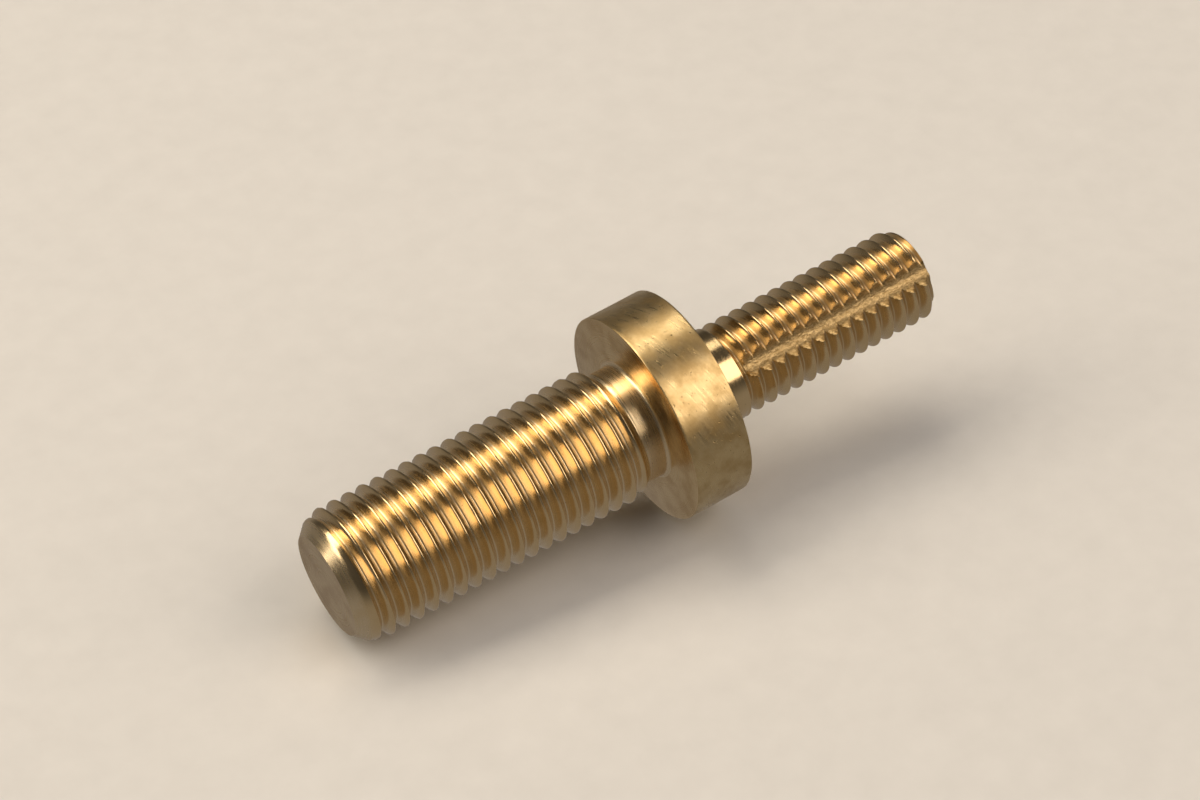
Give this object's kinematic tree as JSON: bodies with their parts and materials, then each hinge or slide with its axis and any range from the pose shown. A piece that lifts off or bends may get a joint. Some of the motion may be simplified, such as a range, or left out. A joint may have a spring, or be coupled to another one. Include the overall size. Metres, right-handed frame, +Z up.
{
  "type": "double-ended adapter stud",
  "caption": "One-piece turned brass stud: large fine thread, plain round collar and a smaller thread with a lengthwise groove, for joining two tapped parts of different thread size.",
  "frame": {"origin": "centre of the flat end face of the large threaded end", "axes": "+X along the stud's axis, from the large end through the collar to the small end's tip; +Z up as the stud lies on its side"},
  "size_m": [0.0543, 0.0176, 0.0176],
  "materials": {
    "turned_brass": "bright as turned, with cut threads and a collar left in drawn bar skin"
  },
  "bodies": {
    "root": {"adapter_stud": "turned_brass"}
  },
  "joints": []
}
